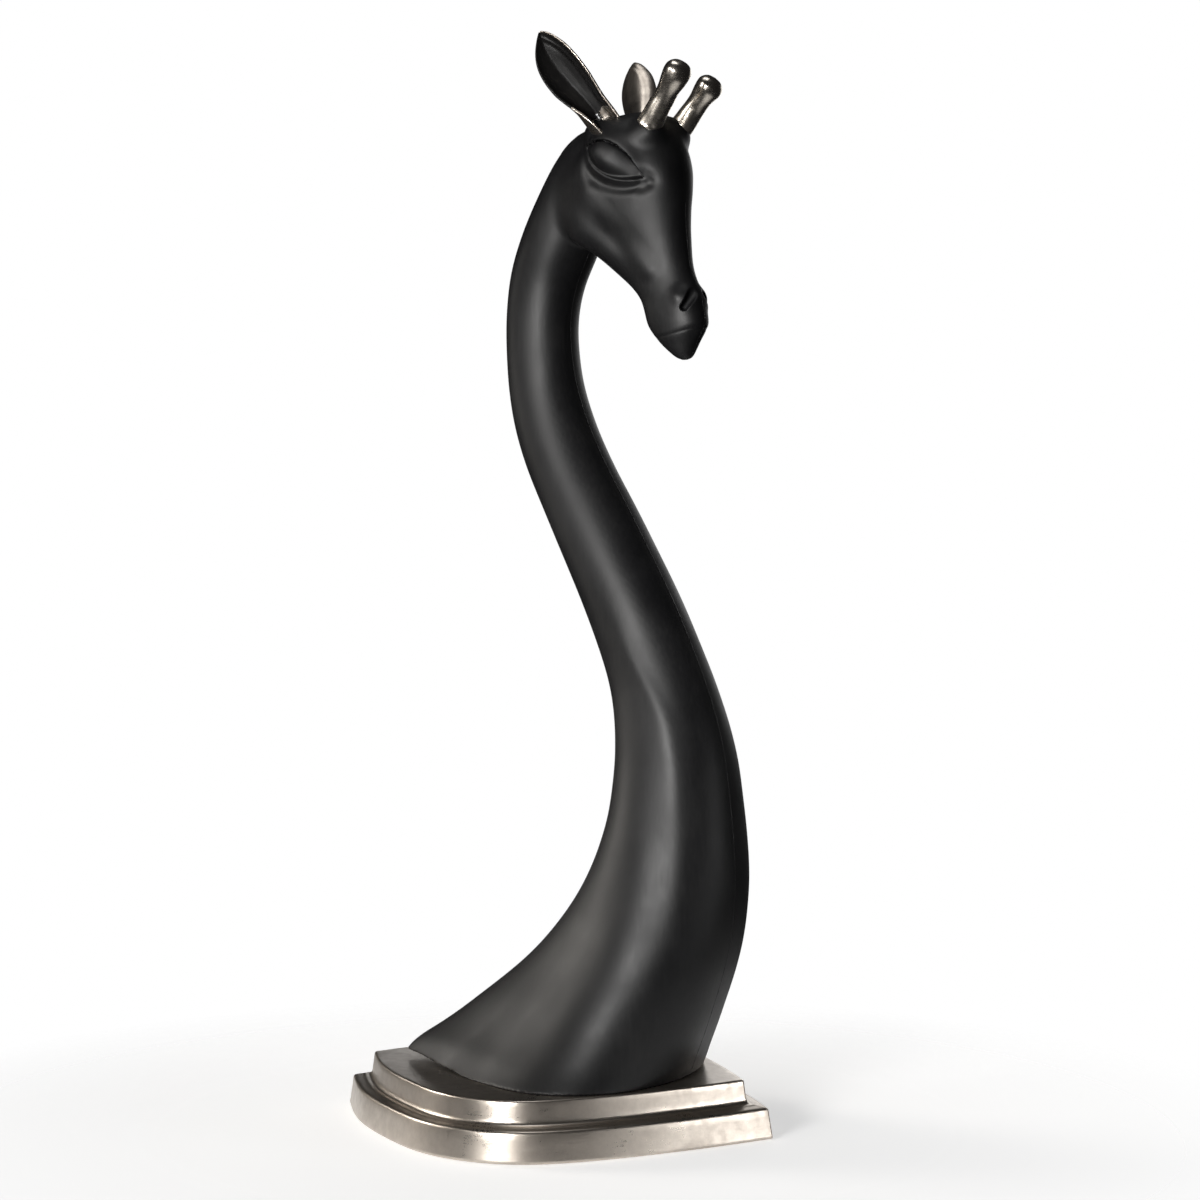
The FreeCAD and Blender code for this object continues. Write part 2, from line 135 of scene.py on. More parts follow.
def build_body():
    zt = np.arange(20.0, 871.01, 1.0)
    cols = [pchip_dense(BODY[:, 0], BODY[:, k], zt) for k in range(8)]
    blend = sst(60, 140, zt) * (1 - sst(820, 850, zt))
    for k in range(1, 8):
        v2, v1 = gsmooth(cols[k], 11.0), gsmooth(cols[k], 4.0)
        v1 = np.where(zt > 850, cols[k], v1)
        cols[k] = v1 * (1 - blend) + v2 * blend
    _, cx, cy, yaw, af, ar, b, kk = cols
    ph = (np.arange(720) + 0.5) / 720 * 2 * math.pi
    c, s = np.cos(ph), np.sin(ph)
    R2 = np.zeros((len(zt), NT + 1))
    for i, z in enumerate(zt):
        m = 2.15; p = 1.12 + 0.21 * sst(55, 120, z)
        t = np.where(c >= 0, af[i] * np.sign(c) * abs(c)**(2/m), ar[i] * c)
        k = np.clip(kk[i], 0, 1)
        w = np.where(c >= 0, abs(s)**(2/m), k * (1 - abs(c)**p) + (1 - k) * abs(s)) * b[i] * np.sign(s)
        r = polar(t, w)
        # round the shoulder where flank meets breast
        sg = 4.0 + 6.5 * (1 - sst(60, 320, z))
        kk_ = np.exp(-0.5 * (np.arange(-30, 31) / sg)**2); kk_ /= kk_.sum()
        rs = np.convolve(np.r_[r[-31:-1], r, r[1:31]], kk_, 'valid')
        win = sst(35, 60, np.degrees(abs(TH))) * (1 - sst(125, 155, np.degrees(abs(TH)))) * (1 - sst(330, 380, z))
        r = r * (1 - win) + (rs * (1.0 + 0.012 * (1 - sst(60, 200, z)))) * win
        # soft shoulder ridge either side, and the flatter flank behind it
        rg = math.radians(61 + 22 * sst(350, 430, z)); amp = 1.15 * sst(120, 220, z) * (1 - sst(380, 470, z))
        aa = abs(TH)
        r = r + amp * np.exp(-((aa - rg) / math.radians(11))**2) - 0.9 * amp * np.exp(-((aa - rg - math.radians(38)) / math.radians(24))**2)
        R2[i] = r * r
    return Sections(zt[0], zt[-1], len(zt), cx, cy, np.radians(yaw), R2)

def build_head():
    zt = np.arange(664.5, 880.61, 0.5)
    z0, z1 = 664.5, float(zt[-1])
    cols = [pchip_dense(HEAD[:, 0], HEAD[:, k], zt) for k in range(6)]
    mid = sst(672, 684, zt) * (1 - sst(862, 872, zt))
    for k in range(1, 6):
        cols[k] = cols[k] * (1 - mid) + gsmooth(cols[k], 7.0) * mid
    _, tr, tf, B, m, e = cols
    tc, A = (tr + tf) / 2, (tf - tr) / 2
    ph = (np.arange(720) + 0.5) / 720 * 2 * math.pi
    c, s = np.cos(ph), np.sin(ph)
    R2 = np.zeros((len(zt), NT + 1))
    for i, z in enumerate(zt):
        t = A[i] * np.sign(c) * abs(c)**(2/m[i]); w = B[i] * np.sign(s) * abs(s)**(2/m[i]) * (1 - e[i] * t / max(A[i], 1e-3))
        R2[i] = polar(t, w)**2
    cx, cy = NX + tc * CY, NY + tc * SY
    return Sections(z0, z1, len(zt), cx, cy, np.full(len(zt), YAW), R2)

def smin(a, b, k):
    h = np.clip(0.5 + 0.5 * (b - a) / k, 0, 1)
    return b * (1 - h) + a * h - k * h * (1 - h)

def local(P):
    x, y = P[:, 0] - NX, P[:, 1] - NY
    return x*CY + y*SY, -x*SY + y*CY, P[:, 2]

def world(t, w, z):
    t, w, z = np.broadcast_arrays(np.asarray(t, float), w, z)
    return np.stack([NX + t*CY - w*SY, NY + t*SY + w*CY, z], -1)

def seg_d(t, w, z, a, b, ra, rb):
    """distance to a tapered round bar from a to b"""
    a, b = np.array(a, float), np.array(b, float); ab = b - a
    q = np.stack([t, w, z], -1) - a
    h = np.clip(q @ ab / (ab @ ab), 0, 1)
    return np.linalg.norm(q - h[:, None] * ab, axis=1) - (ra + (rb - ra) * h)

def ell(t, w, z, c, r, rot=0.0, tw=0.0):
    """approximate distance to an ellipsoid; rot tips it in the t-z plane, tw turns it about z"""
    x, y, v = t - c[0], w - c[1], z - c[2]
    if tw: ct, st = math.cos(tw), math.sin(tw); x, y = x*ct + y*st, -x*st + y*ct
    if rot: cr, sr = math.cos(rot), math.sin(rot); x, v = x*cr + v*sr, -x*sr + v*cr
    k0 = np.sqrt((x/r[0])**2 + (y/r[1])**2 + (v/r[2])**2); k1 = np.sqrt((x/r[0]**2)**2 + (y/r[1]**2)**2 + (v/r[2]**2)**2)
    return k0 * (k0 - 1) / np.maximum(k1, 1e-6)

BODYF = build_body(); HEADF = build_head()

# almond of the eye in the side chart (t, z): upper and lower lid as heights over a slanting axis
EA, EB = np.array((-73.5, 850.0)), np.array((-19.0, 819.5))
EL = float(np.linalg.norm(EB - EA)); EU = (EB - EA) / EL; EV = np.array((-EU[1], EU[0]))   # EV points up
UP = np.array([(0, 0), (0.08, 5.5), (0.2, 11.0), (0.35, 14.2), (0.5, 14.8), (0.65, 12.8), (0.8, 8.8), (0.92, 4.0), (1, 0)])
LO = np.array([(0, 0), (0.08, -3.6), (0.2, -8.2), (0.35, -11.2), (0.5, -11.8), (0.65, -10.4), (0.8, -7.4), (0.92, -3.4), (1, 0)])
def lid(tab, x):
    return pchip_dense(tab[:, 0], tab[:, 1], x)

BALLH = np.array([(0, 0), (0.06, 2.2), (0.15, 4.6), (0.28, 6.3), (0.42, 6.6), (0.56, 5.6), (0.70, 3.6), (0.82, 1.7), (0.93, 0.4), (1, 0)])
FLOORD = np.array([(0, -0.4), (0.25, -1.0), (0.45, -1.8), (0.62, -3.2), (0.78, -4.4), (0.90, -3.8), (1, -1.0)])
def eye_disp(t, z):
    """outward displacement of the side surface around the eye"""
    x = ((t - EA[0]) * EU[0] + (z - EA[1]) * EU[1]) / EL
    v = (t - EA[0]) * EV[0] + (z - EA[1]) * EV[1]
    xc = np.clip(x, 0, 1)
    u, l = lid(UP, xc), lid(LO, xc)
    ex = np.maximum(np.maximum(-x, x - 1), 0) * EL
    out = np.maximum(np.maximum(v - u, l - v), 0)
    dist = np.hypot(out, ex)                                # outside the opening
    ins = np.where(ex > 0, -dist, np.minimum(u - v, v - l))   # >0 inside
    h = np.maximum(u - l, 0.5)
    s = np.clip(4 * (u - v) * (v - l) / h**2, 0, 1)
    lowf = sst(0.0, 1.0, (u - v) / h)
    ball = lid(BALLH, xc) * np.where(ex > 0, 0, s)**(0.55 + 0.35 * lowf)
    inside = ins > 0
    groove = -1.9 * np.exp(-(np.maximum(u - v, 0) / 1.5)**2) * inside * (1 - 0.5 * sst(0.5, 0.9, x))      # line under the upper lid
    D_in = ball + groove + lid(FLOORD, xc)
    m = sst(-4.0, 4.0, v - 0.5 * (u + l))                  # 1 above the eye, 0 below
    lip = m * 2.4 * np.exp(-(dist / 6.5)**2) * (1 - 0.45 * sst(0.55, 1.0, x)) + (1 - m) * 0.8 * np.exp(-((dist - 1.5) / 3.2)**2)
    hollow = -(1 - m) * 3.1 * np.exp(-((dist - 9.0) / 5.5)**2) * sst(-0.1, 0.5, x) * (1 - sst(0.95, 1.3, x))
    front = -3.4 * np.exp(-((x - 1.02) / 0.16)**2 - ((v - 1.0) / 6.5)**2)          # tear hollow at the inner corner
    D_out = lip + hollow
    e = m * sst(-0.5, 0.5, ins) + (1 - m) * sst(-3.4, 3.0, ins)
    return D_in * e + D_out * (1 - e) + front

# ear and horn places in the side frame (t, w, z)
HORN_P, HORN_D = np.array((-19.0, 21.5, 864.6)), np.array((29.3, 1.9, 32.6)); HORN_D = HORN_D / np.linalg.norm(HORN_D)
EAR_P = np.array((-65.6, 26.0, 871.0))

def head_field(P, disp=True):
    t, w, z = local(P)
    aw = np.abs(w)
    d = HEADF.d(P)
    # brow mound over each eye, forehead bosses under the horns, ear root swelling
    d = smin(d, ell(t, aw, z, (-50, 25, 857), (26, 12, 10), rot=-0.22), 12)
    d = smin(d, ell(t, aw, z, (-19.5, 19.5, 859), (12, 11, 12.5), rot=-0.5), 9)
    d = smin(d, ell(t, aw, z, (-68, 21, 862), (15, 13, 11)), 9)
    # cheek bone running from under the eye down to the muzzle, jaw angle at the back
    d = smin(d, seg_d(t, aw, z, (-72, 27, 808), (-20, 14.5, 742), 11.0, 6.5), 9)
    d = smin(d, ell(t, aw, z, (-84, 22, 790), (22, 15, 24)), 10)
    # muzzle: upper lip pad on each side
    d = smin(d, ell(t, aw, z, (6, 8.5, 713), (13.5, 8.5, 12), rot=0.35), 7)
    if disp:
        side = sst(8, 20, aw)
        D = eye_disp(t, z) * side
        # long hollow between cheek bone and jaw
        D = D - 4.8 * np.exp(-(((t + 48) * 0.62 + (z - 770) * 0.78) / 13.0)**2 - (((t + 48) * 0.78 - (z - 770) * 0.62) / 24.0)**2) * side
        # temple hollow between brow and ear
        D = D - 1.6 * np.exp(-((t + 84) / 10.0)**2 - ((z - 850) / 10.0)**2) * side
        # mouth line with soft lips
        ml = mouth_line(t)
        m = np.exp(-((z - ml) / 1.15)**2) * (1 - sst(-36, -20, -t) * 0) * sst(-33, -25, t)
        lip = np.exp(-((z - ml - 3.2) / 2.4)**2) * 0.8 + np.exp(-((z - ml + 3.4) / 2.6)**2) * 0.7
        D = D + (-0.28 * m * sst(-22, -10, t) + 0.15 * lip * sst(-34, -20, t)) * (1 - sst(707, 716, z))
        # wing over each nostril
        D = D + 1.5 * np.exp(-((t - 11) / 6.0)**2 - ((z - 717) / 6.5)**2) * sst(3, 9, aw)
        # dip of the forehead between the horns, faint groove down the nose
        D = D - 1.8 * np.exp(-((t + 12) / 18.0)**2 - (w / 7.0)**2 - ((z - 872) / 16.0)**2)
        d = d - D
        # nostrils: slanting comma-shaped hollows either side of the nose tip
        d = -smin(-d, nostril(t, aw, z), 1.6)
    return d

def mouth_line(t):
    return 684.0 + 0.10 * (t + 10) + 0.0035 * (t + 10)**2

def nostril(t, aw, z):
    a = seg_d(t, aw, z, (22.5, 8.5, 722.5), (15.0, 14.8, 708.0), 5.0, 3.3)
    return a

def zfoot(P):
    x = P[:, 0]
    return 50.15 + 4.6 * sst(-38, -118, x) if False else 50.15 + 4.6 * np.clip((-38 - x) / 80.0, 0, 1)**1.6

def field(P, disp=True):
    """signed distance-like field of the whole carving, mm"""
    out = np.empty(len(P))
    z = P[:, 2]
    lo = z < 640
    if lo.any():
        out[lo] = BODYF.d(P[lo])
    hi = ~lo
    if hi.any():
        Q = P[hi]
        b = BODYF.d(Q); h = head_field(Q, disp)
        # close blend at the nape and throat, tight at the cheek so that its edge reads over the neck
        k = 4.0 + 6.0 * sst(745, 790, Q[:, 2]) + 3.0 * sst(828, 858, Q[:, 2])
        out[hi] = smin(b, h, k)
    fz = zfoot(P) - z
    near = fz > -6
    if near.any():
        a, b = out[near], fz[near]
        k = 1.6
        hh = np.clip(0.5 - 0.5 * (b - a) / k, 0, 1)
        out[near] = b * (1 - hh) + a * hh + k * hh * (1 - hh)
    return out

def grid_field(lo, hi, step, blk=8, f=field):
    n = np.ceil((np.array(hi) - lo) / step).astype(int)
    nb = (n + blk - 1) // blk; n = nb * blk + 1
    V = np.full(n, 50.0, np.float32)
    bx = [lo[k] + (np.arange(nb[k]) + 0.5) * blk * step for k in range(3)]
    C = np.stack(np.meshgrid(*bx, indexing='ij'), -1).reshape(-1, 3)
    fc = f(C, False).reshape(nb)
    reach = blk * step * 0.866 * 1.45 + 8
    o = np.arange(blk + 1)
    O = np.stack(np.meshgrid(o, o, o, indexing='ij'), -1).reshape(-1, 3)
    for i in range(nb[0]):
        for_far = fc[i]
        for j in range(nb[1]):
            for k in range(nb[2]):
                if for_far[j, k] < -reach:
                    V[i*blk:(i+1)*blk+1, j*blk:(j+1)*blk+1, k*blk:(k+1)*blk+1] = -50.0
    act = np.argwhere(np.abs(fc) <= reach)
    CH = 600
    for c0 in range(0, len(act), CH):
        a = act[c0:c0+CH]
        idx = (a[:, None, :] * blk + O[None]).reshape(-1, 3)
        P = lo + idx * step
        V[idx[:, 0], idx[:, 1], idx[:, 2]] = f(P)
    return V

def surface_nets(V, lo, step):
    S = V < 0
    c = [(0,0,0),(1,0,0),(0,1,0),(1,1,0),(0,0,1),(1,0,1),(0,1,1),(1,1,1)]
    n = np.array(V.shape) - 1
    cnt = np.zeros(n, np.int8)
    for a, b, d in c: cnt += S[a:a+n[0], b:b+n[1], d:d+n[2]]
    cells = np.argwhere((cnt > 0) & (cnt < 8))
    vid = np.full(n, -1, np.int64); vid[cells[:, 0], cells[:, 1], cells[:, 2]] = np.arange(len(cells))
    acc = np.zeros((len(cells), 3)); m = np.zeros(len(cells))
    val = [V[cells[:, 0]+a, cells[:, 1]+b, cells[:, 2]+d].astype(float) for a, b, d in c]
    for i in range(8):
        for k in range(3):
            if c[i][k] == 0:
                j = i + (1, 2, 4)[k]
                A, B = val[i], val[j]; x = (A < 0) != (B < 0)
                tt = A[x] / (A[x] - B[x])
                p = np.tile(np.array(c[i], float), (x.sum(), 1)); p[:, k] = tt
                acc[x] += p; m[x] += 1
    verts = lo + (cells + acc / m[:, None]) * step
    quads = []
    for k in range(3):
        u, v = (k + 1) % 3, (k + 2) % 3
        sl0 = [slice(1, -1)] * 3; sl1 = [slice(1, -1)] * 3
        sl0[k] = slice(0, -1); sl1[k] = slice(1, None)
        A, B = S[tuple(sl0)], S[tuple(sl1)]
        e = np.argwhere(A != B); a_in = A[tuple(e.T)]
        base = e.copy(); base[:, u] += 1; base[:, v] += 1
        def cid(du, dv):
            q = base.copy(); q[:, u] += du; q[:, v] += dv
            return vid[q[:, 0], q[:, 1], q[:, 2]]
        q = np.stack([cid(-1, -1), cid(0, -1), cid(0, 0), cid(-1, 0)], 1)
        q[~a_in] = q[~a_in][:, ::-1]
        quads.append(q)
    return verts, np.concatenate(quads)

def project(P, it=3, h=0.35, f=field, mx=1.5):
    P = P.copy()
    for _ in range(it):
        f0 = f(P); G = np.zeros_like(P)
        for k in range(3):
            Q = P.copy(); Q[:, k] += h; g1 = f(Q); Q[:, k] -= 2*h
            G[:, k] = (g1 - f(Q)) / (2*h)
        g2 = np.maximum((G**2).sum(1), 0.15)
        s = np.clip(f0 / g2, -mx, mx)
        P -= s[:, None] * G
    return P

# ================================================================ mesh helpers
MM = 0.001
def new_object(name, verts, faces, smooth=True):
    me = bpy.data.meshes.new(name)
    me.from_pydata([tuple(v) for v in np.asarray(verts) * MM], [], [tuple(int(i) for i in f) for f in faces])
    me.update()
    me.validate()
    if smooth: me.polygons.foreach_set("use_smooth", np.ones(len(me.polygons), bool))
    o = bpy.data.objects.new(name, me)
    bpy.context.scene.collection.objects.link(o)
    return o

def object_from_bm(name, bm, smooth=True):
    """bm in mm, turned into an object in metres"""
    me = bpy.data.meshes.new(name)
    bm.to_mesh(me)
    co = np.empty(len(me.vertices) * 3, np.float32); me.vertices.foreach_get("co", co)
    me.vertices.foreach_set("co", co * MM); me.update()
    if smooth: me.polygons.foreach_set("use_smooth", np.ones(len(me.polygons), bool))
    o = bpy.data.objects.new(name, me)
    bpy.context.scene.collection.objects.link(o)
    return o

def mark_sharp(o, deg=40):
    me = o.data
    bm = bmesh.new(); bm.from_mesh(me)
    lim = math.radians(deg)
    for e in bm.edges:
        if len(e.link_faces) == 2 and e.calc_face_angle(0) > lim: e.smooth = False
    bm.to_mesh(me); bm.free()

# ================================================================ carved body
def carve():
    lo = np.array([-156.0, -141.0, 47.0]); step = 2.0
    V = grid_field(lo, np.array([200.0, 141.0, 886.0]), step)
    log("grid", V.shape)
    v, q = surface_nets(V, lo, step)
    log("nets", len(v))
    me = bpy.data.meshes.new("tmp"); me.from_pydata(v.tolist(), [], q.tolist())
    bm = bmesh.new(); bm.from_mesh(me); bpy.data.meshes.remove(me)
    bmesh.ops.recalc_face_normals(bm, faces=bm.faces)
    def refine(test):
        co = np.array([x.co for x in bm.verts])
        t, w, z = local(co)
        keep = test(t, np.abs(w), z)
        bm.verts.index_update()
        ed = [e for e in bm.edges if keep[e.verts[0].index] and keep[e.verts[1].index]]
        bmesh.ops.subdivide_edges(bm, edges=ed, cuts=1, use_grid_fill=True)
    refine(lambda t, w, z: (z > 652) & ((t > -60) | (z > 735)))
    refine(lambda t, w, z: ((t > -90) & (t < -10) & (z > 800) & (z < 868) & (w > 12)) | ((z < 732) & (z > 655) & (t > -45)))
    co0 = np.array([x.co for x in bm.verts]); bm.verts.index_update()
    keep = (co0[:, 2] < 64) & (co0[:, 0] < -20)
    ed = [e for e in bm.edges if keep[e.verts[0].index] and keep[e.verts[1].index]]
    bmesh.ops.subdivide_edges(bm, edges=ed, cuts=1, use_grid_fill=True)
    log("refined", len(bm.verts))
    co = np.array([x.co for x in bm.verts])
    co = project(co, 3)
    for x, p in zip(bm.verts, co): x.co = p
    log("projected")
    return bm

def halves(bm):
    nrm = Vector((-SY, CY, 0.0)); org = Vector((NX, NY, 0.0))
    for off in (-1.0, 1.0, 0.0):
        bmesh.ops.bisect_plane(bm, geom=bm.verts[:] + bm.edges[:] + bm.faces[:], dist=1e-3, plane_co=org + nrm * off, plane_no=nrm)
    near = [x for x in bm.verts if abs((x.co - org).dot(nrm)) < 2.2]
    co = project(np.array([x.co for x in near]), 3)
    for x, q in zip(near, co):
        w0 = (x.co - org).dot(nrm); q = Vector(q)
        if abs(w0) < 1.2: q -= nrm * ((q - org).dot(nrm) - (0.0 if abs(w0) < 1e-2 else w0))
        x.co = q
    bm.normal_update()
    for x in near:                                           # the glue line stands a hair proud down the throat and breast
        if abs((x.co - org).dot(nrm)) < 1e-3 and x.co.z > 56:
            n = x.normal.copy(); n -= nrm * n.dot(nrm)
            if n.length > 1e-6:
                n.normalize(); f = 0.22 if n.x > 0.25 and x.co.z < 800 else 0.05
                x.co += n * f
    out = []
    for name, side in (("carved_right_half", -1), ("carved_left_half", 1)):
        b = bm.copy()
        kw = dict(clear_outer=True) if side < 0 else dict(clear_inner=True)
        bmesh.ops.bisect_plane(b, geom=b.verts[:] + b.edges[:] + b.faces[:], dist=1e-3, plane_co=org, plane_no=nrm, **kw)
        rim = [e for e in b.edges if e.is_boundary]
        bmesh.ops.triangle_fill(b, edges=rim, use_beauty=True, use_dissolve=False, normal=nrm * (-side))
        bmesh.ops.recalc_face_normals(b, faces=b.faces)
        left = sum(1 for e in b.edges if not e.is_manifold)
        log(name, len(b.verts), "open edges", left)
        o = object_from_bm(name, b); b.free()
        # the flat glue face and its rim stay crisp
        bm2 = bmesh.new(); bm2.from_mesh(o.data)
        for f in bm2.faces:
            c = f.calc_center_median() / MM - org
            if abs(c.dot(nrm)) < 1e-3: f.smooth = False
        for e in bm2.edges:
            if len(e.link_faces) == 2 and e.link_faces[0].smooth != e.link_faces[1].smooth: e.smooth = False
        bm2.to_mesh(o.data); bm2.free()
        out.append(o)
    return out

# ================================================================ plinth
PLAN = np.array([(-176, 0), (-160, -27), (-143, -52), (-112, -87.5), (-80, -117), (-49, -141), (-19, -154.5), (8, -158), (35, -153),
                 (62, -136.5), (88, -112), (112, -85), (141, -49), (160, -23.5), (176, 0)], float)
def catmull(P, n):
    """smooth curve through the points by chord length"""
    s = np.r_[0, np.cumsum(np.hypot(*np.diff(P, axis=0).T))]
    def nat(v):
        m = len(s); h = np.diff(s); A = np.zeros((m, m)); r = np.zeros(m)
        A[0, 0] = A[-1, -1] = 1
        for i in range(1, m - 1):
            A[i, i-1], A[i, i], A[i, i+1] = h[i-1], 2*(h[i-1] + h[i]), h[i]
            r[i] = 3*((v[i+1] - v[i])/h[i] - (v[i] - v[i-1])/h[i-1])
        c = np.linalg.solve(A, r); q = np.linspace(0, s[-1], n); i = np.clip(np.searchsorted(s, q) - 1, 0, m - 2); t = q - s[i]
        b = (v[i+1] - v[i])/h[i] - h[i]*(2*c[i] + c[i+1])/3; d = (c[i+1] - c[i])/(3*h[i])
        return v[i] + b*t + c[i]*t*t + d*t**3
    return np.stack([nat(P[:, 0]), nat(P[:, 1])], 1)
_dense = catmull(PLAN, 481)
_tan = np.gradient(_dense, axis=0); _tan /= np.linalg.norm(_tan, axis=1)[:, None]

def plan_loop(off, z, rc=2.4, ns=150, nc=9):
    """closed loop: plan offset outwards by off, its two sharp corners eased to radius rc"""
    o = off - rc
    p = _dense + o * np.stack([_tan[:, 1], -_tan[:, 0]], 1)
    k = p[:, 1] < -0.02
    q, t = p[k], _tan[k]
    f = q[0] - t[0] * (q[0, 1] / t[0, 1]); l = q[-1] - t[-1] * (q[-1, 1] / t[-1, 1])
    q = np.vstack([f, q, l])
    s = np.r_[0, np.cumsum(np.hypot(*np.diff(q, axis=0).T))]; u = np.linspace(0, s[-1], ns)
    q = np.stack([np.interp(u, s, q[:, 0]), np.interp(u, s, q[:, 1])], 1)
    tt = np.gradient(q, axis=0); tt /= np.linalg.norm(tt, axis=1)[:, None]
    nn = np.stack([tt[:, 1], -tt[:, 0]], 1)
    side = q + rc * nn
    def arc(c, n0, n1, n):
        a0, a1 = math.atan2(n0[1], n0[0]), math.atan2(n1[1], n1[0])
        while a1 < a0: a1 += 2 * math.pi
        a = np.linspace(a0, a1, n + 2)[1:-1]
        return c + rc * np.stack([np.cos(a), np.sin(a)], 1)
    # near side runs from -X corner to +X corner anticlockwise seen from above, then the far side mirrored
    far = (side * (1, -1))[::-1]
    nf0 = nn[-1] * (1, -1)
    c1 = arc(q[-1], nn[-1], nf0, nc); c0 = arc(q[0], nn[0] * (1, -1), nn[0], nc)
    loop = np.vstack([side, c1, far, c0])
    loop[:, 0] *= 1.0 + 0.026 * min(max((off - 5.0) / 8.0, 0.0), 1.0)
    return np.column_stack([loop, np.full(len(loop), z)])

def plinth():
    prof = [(-3.2, 50.0), (-1.9, 49.95), (-1.15, 49.75), (-0.55, 49.35), (-0.15, 48.75), (0.05, 48.0), (0.5, 44.5), (1.0, 40.5), (1.45, 37.0), (1.8, 34.2),
            (2.05, 32.9), (2.5, 31.7), (3.2, 30.7), (4.1, 30.0), (5.1, 29.62), (5.9, 29.6), (6.6, 29.72), (7.3, 29.62), (7.9, 29.2), (9.0, 28.75), (10.8, 28.2), (12.2, 27.75), (13.1, 27.3),
            (13.75, 26.6), (14.15, 25.7), (14.4, 24.6), (15.1, 19.5), (15.9, 13.5), (16.7, 8.0), (17.3, 4.2), (17.5, 2.9), (17.35, 2.1), (16.9, 1.6), (16.2, 1.5),
            (11.2, 1.5), (10.5, 1.7), (10.3, 2.3), (9.4, 12.0), (8.2, 22.0), (7.2, 25.0), (4.0, 28.0), (-2.0, 31.5), (-4.6, 34.0), (-5.6, 37.5), (-6.3, 41.0), (-7.4, 42.6), (-9.5, 43.0)]
    loops = [plan_loop(o, z) for o, z in prof]
    n = len(loops[0])
    rng = np.random.RandomState(5)
    ang = np.linspace(0, 2*math.pi, n, endpoint=False)
    # hand-finished casting: the walls wander by a few tenths
    wob = sum(rng.uniform(-1, 1) * np.cos((k + 2) * ang + rng.uniform(0, 6.3)) / (k + 2)**0.6 for k in range(14)) * 0.16
    for i, L in enumerate(loops[:33]):
        d = L[:, :2] / np.linalg.norm(L[:, :2], axis=1)[:, None]
        L[:, :2] += d * (wob * (0.6 + 0.4 * math.sin(i * 0.5)))[:, None]
    top = loops[0]; ceil = loops[-1]
    inner_top = [np.column_stack([top[:, :2] * s, np.full(n, 50.0)]) for s in (0.97, 0.9, 0.78, 0.62, 0.45, 0.28, 0.12)]
    inner_ceil = [np.column_stack([ceil[:, :2] * s, np.full(n, 43.0)]) for s in (0.97, 0.88, 0.7, 0.5, 0.3, 0.12)]
    rings = inner_top[::-1] + loops + inner_ceil
    V = np.vstack(rings + [np.array([[0, 0, 50.0], [0, 0, 43.0]])])
    F = []
    ar = np.arange(n); nx = (ar + 1) % n
    for i in range(len(rings) - 1):
        a, b = i * n, (i + 1) * n
        F += np.stack([a + ar, b + ar, b + nx, a + nx], 1).tolist()
    ct, cc = len(rings) * n, len(rings) * n + 1
    F += [[ct, int(i), int(j)] for i, j in zip(ar, nx)]
    last = (len(rings) - 1) * n
    F += [[cc, int(last + j), int(last + i)] for i, j in zip(ar, nx)]
    # bosses under the top plate (closed, rooted in the plate), with the bolt and pad seats left plain
    def boss(x, y, r, z0, z1, m=40):
        nonlocal V, F
        a = np.linspace(0, 2*math.pi, m, endpoint=False); base = len(V)
        ring = lambda rr, z: np.column_stack([x + rr*np.cos(a), y + rr*np.sin(a), np.full(m, z)])
        R_ = [ring(r * 0.5, z0), ring(r - 0.8, z0), ring(r, z0 + 0.8), ring(r + 0.4, z1 - 1.5), ring(r + 1.6, z1 - 0.2), ring(r + 1.6, z1 + 1.5), ring(r * 0.5, z1 + 1.5)]
        V = np.vstack([V] + R_ + [np.array([[x, y, z0], [x, y, z1 + 1.5]])])
        k = np.arange(m); k2 = (k + 1) % m
        for i in range(len(R_) - 1):
            A, B = base + i*m, base + (i+1)*m
            F += np.stack([A + k, A + k2, B + k2, B + k], 1).tolist()
        c = base + len(R_) * m
        F += [[c, int(base + j), int(base + i)] for i, j in zip(k, k2)]
        t = base + (len(R_) - 1) * m
        F += [[c + 1, int(t + i), int(t + j)] for i, j in zip(k, k2)]
    for x, y in ((-156, 0), (156, 0), (8, -138), (8, 138)): boss(x, y, 11.5, 2.9, 43.0)
    for x, y in ((74, -56), (-20, -60), (74, 66), (-6, 82)): boss(x, y, 13.5, 38.0, 43.0)
    for x, y in ((104, -22), (30, 98)): boss(x, y, 9.0, 39.0, 43.0)
    o = new_object("cast_plinth", V, F)
    bm = bmesh.new(); bm.from_mesh(o.data); bmesh.ops.recalc_face_normals(bm, faces=bm.faces); bm.to_mesh(o.data); bm.free()
    log("plinth open edges", sum(1 for e in _edges(o) if e != 2))
    return o

def _edges(o):
    c = {}
    for p in o.data.polygons:
        for k in p.edge_keys: c[k] = c.get(k, 0) + 1
    return c.values()

